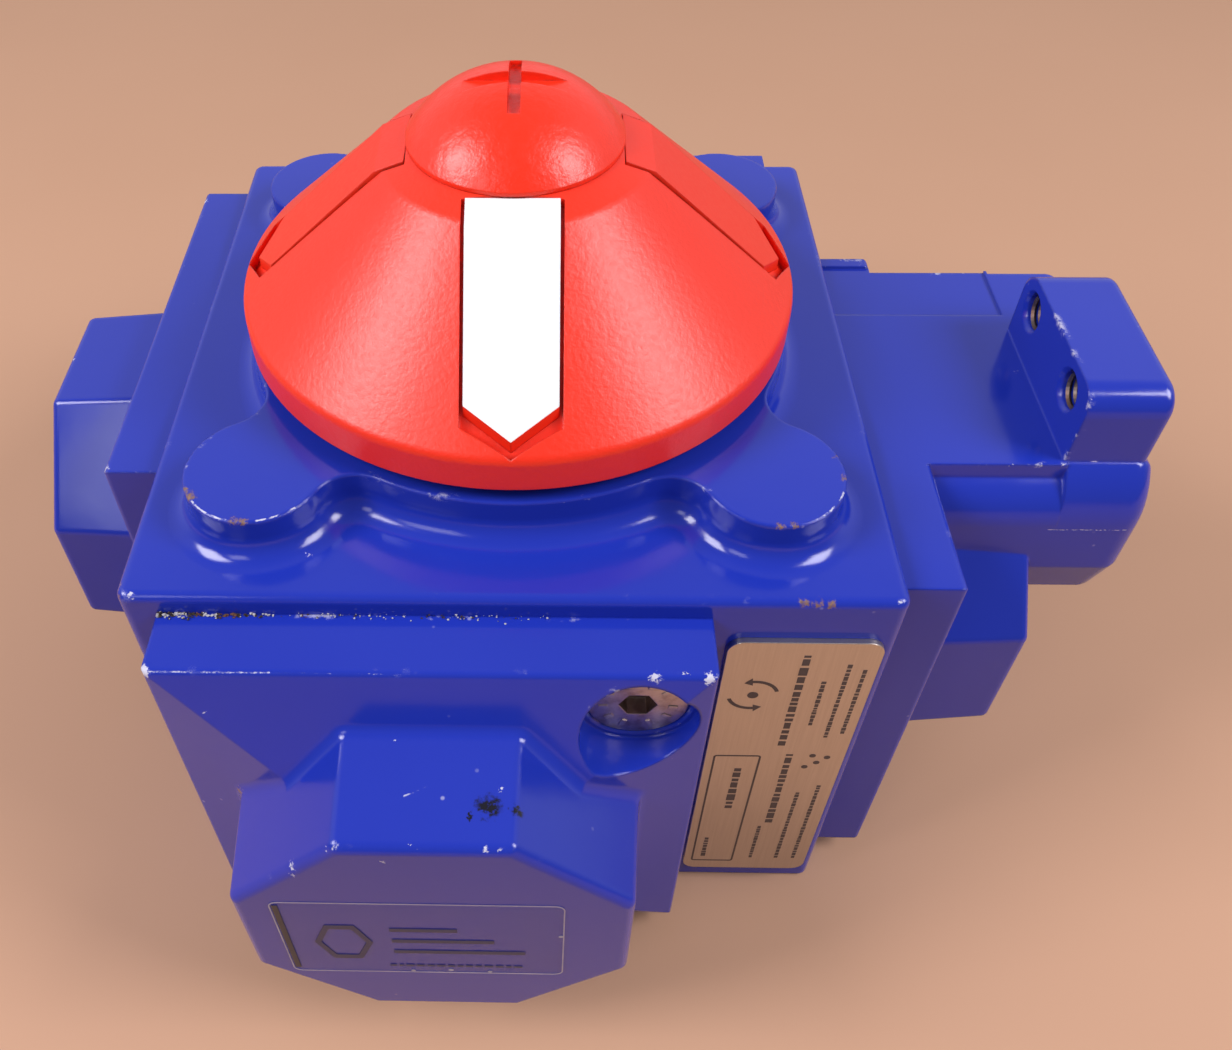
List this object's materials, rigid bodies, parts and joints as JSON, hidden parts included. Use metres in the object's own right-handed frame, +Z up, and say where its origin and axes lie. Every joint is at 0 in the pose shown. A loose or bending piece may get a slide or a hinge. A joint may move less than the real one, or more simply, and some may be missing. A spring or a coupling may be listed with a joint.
{
  "type": "rotary pneumatic actuator",
  "caption": "Compact quarter-turn pneumatic actuator: blue cast block, pinwheel end covers over rack pistons, central pinion and a red cone position indicator.",
  "frame": {"origin": "output shaft axis at the valve mounting face, under the body", "axes": "+Z up along the shaft to the position indicator; -Y towards the nameplate side; +X towards the manifold cover"},
  "size_m": [0.1547, 0.1415, 0.112],
  "materials": {
    "blue_casting": "gloss blue paint over cast aluminium",
    "stainless": "satin stainless steel",
    "shaft_steel": "satin",
    "spring_steel": "satin, phosphated",
    "piston_aluminium": "satin",
    "seal_rubber": "matte",
    "bush_plastic": "satin",
    "band_plastic": "satin",
    "indicator_red": "fine moulded texture",
    "arrow_white": "satin",
    "nameplate_metal": "satin",
    "label_film": "clear film"
  },
  "bodies": {
    "housing": {"body": "blue_casting", "cover_label": "label_film", "front_cover": "blue_casting", "front_cover_screws": "stainless", "front_cover_seal": "seal_rubber", "left_cover": "blue_casting", "left_cover_screws": "stainless", "left_cover_seal": "seal_rubber", "lower_bush": "bush_plastic", "manifold_cover": "blue_casting", "manifold_cover_screws": "stainless", "manifold_cover_seal": "seal_rubber", "nameplate": "nameplate_metal", "rear_cover": "blue_casting", "rear_cover_screws": "stainless", "rear_cover_seal": "seal_rubber", "thrust_washer": "bush_plastic", "upper_bush": "bush_plastic"},
    "shaft": {"drive_pinion": "shaft_steel", "lower_shaft_seal": "seal_rubber", "upper_shaft_seal": "seal_rubber", "retaining_ring": "spring_steel", "indicator_cone": "indicator_red", "indicator_cap": "indicator_red", "indicator_screw": "stainless", "front_arrow": "arrow_white", "rear_arrow": "arrow_white", "left_insert": "indicator_red", "right_insert": "indicator_red"},
    "front_piston_group": {"front_piston": "piston_aluminium", "front_piston_seal": "seal_rubber", "front_guide_band": "band_plastic"},
    "right_piston_group": {"right_piston": "piston_aluminium", "right_piston_seal": "seal_rubber", "right_guide_band": "band_plastic"},
    "rear_piston_group": {"rear_piston": "piston_aluminium", "rear_piston_seal": "seal_rubber", "rear_guide_band": "band_plastic"},
    "left_piston_group": {"left_piston": "piston_aluminium", "left_piston_seal": "seal_rubber", "left_guide_band": "band_plastic"}
  },
  "joints": [
    {"name": "shaft_turn", "type": "hinge", "parent": "housing", "child": "shaft", "pos_m": [0, 0, 0.0365], "axis": [0, 0, 1], "range_deg": [0, 90]},
    {"name": "front_stroke", "type": "slide", "parent": "housing", "child": "front_piston_group", "axis": [0, -1, 0], "range_m": [0, 0.01414]},
    {"name": "right_stroke", "type": "slide", "parent": "housing", "child": "right_piston_group", "axis": [1, 0, 0], "range_m": [0, 0.01414]},
    {"name": "rear_stroke", "type": "slide", "parent": "housing", "child": "rear_piston_group", "axis": [0, 1, 0], "range_m": [0, 0.01414]},
    {"name": "left_stroke", "type": "slide", "parent": "housing", "child": "left_piston_group", "axis": [-1, 0, 0], "range_m": [0, 0.01414]}
  ],
  "couplings": [
    {"joint": "front_stroke", "follows": "shaft_turn", "m_per_rad": 0.009},
    {"joint": "right_stroke", "follows": "shaft_turn", "m_per_rad": 0.009},
    {"joint": "rear_stroke", "follows": "shaft_turn", "m_per_rad": 0.009},
    {"joint": "left_stroke", "follows": "shaft_turn", "m_per_rad": 0.009}
  ]
}
